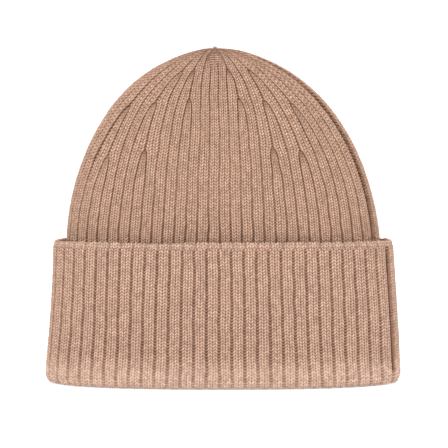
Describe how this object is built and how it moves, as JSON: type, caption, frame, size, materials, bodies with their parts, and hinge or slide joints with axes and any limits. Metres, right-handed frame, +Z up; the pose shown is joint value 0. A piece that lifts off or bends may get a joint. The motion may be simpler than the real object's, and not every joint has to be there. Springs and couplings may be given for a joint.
{
  "type": "knitted beanie",
  "caption": "Soft rib-knit beanie with a deep turned-up cuff, a crown shaped by decreases and drawn closed at the tip, and a blank care label sewn in its side seam.",
  "frame": {"origin": "middle of the hat's footprint, on the surface that it stands on", "axes": "+Z up to the crown's tip, -Y the hat's front, +X the wearer's left, where the side seam runs"},
  "size_m": [0.22, 0.1, 0.2087],
  "materials": {
    "body_knit": "soft rib knit with a light fuzz",
    "cuff_knit": "soft rib knit with a light fuzz",
    "welt_knit": "plain cast-on edge",
    "seam_yarn": "matte yarn",
    "closing_yarn": "matte yarn",
    "tuft_yarn": "pale loose fibre",
    "label_cloth": "smooth satin ribbon, blank",
    "label_thread": "twisted thread"
  },
  "bodies": {
    "hat": {"knit_body": "body_knit", "crown": "body_knit", "cuff": "cuff_knit", "cuff_fold": "cuff_knit", "cuff_welt": "welt_knit", "side_seam": "seam_yarn", "cuff_seam": "seam_yarn", "seam_stitches": "seam_yarn", "closing_yarn": "closing_yarn", "yarn_tuft": "tuft_yarn"},
    "label": {"care_label": "label_cloth", "label_tacks": "label_thread"}
  },
  "joints": [
    {"name": "label_flip", "type": "hinge", "parent": "hat", "child": "label", "pos_m": [0.08213, -0.00999, 0.115], "axis": [-0.2239, 0.0153, 0.9745], "range_deg": [0, 110]}
  ]
}
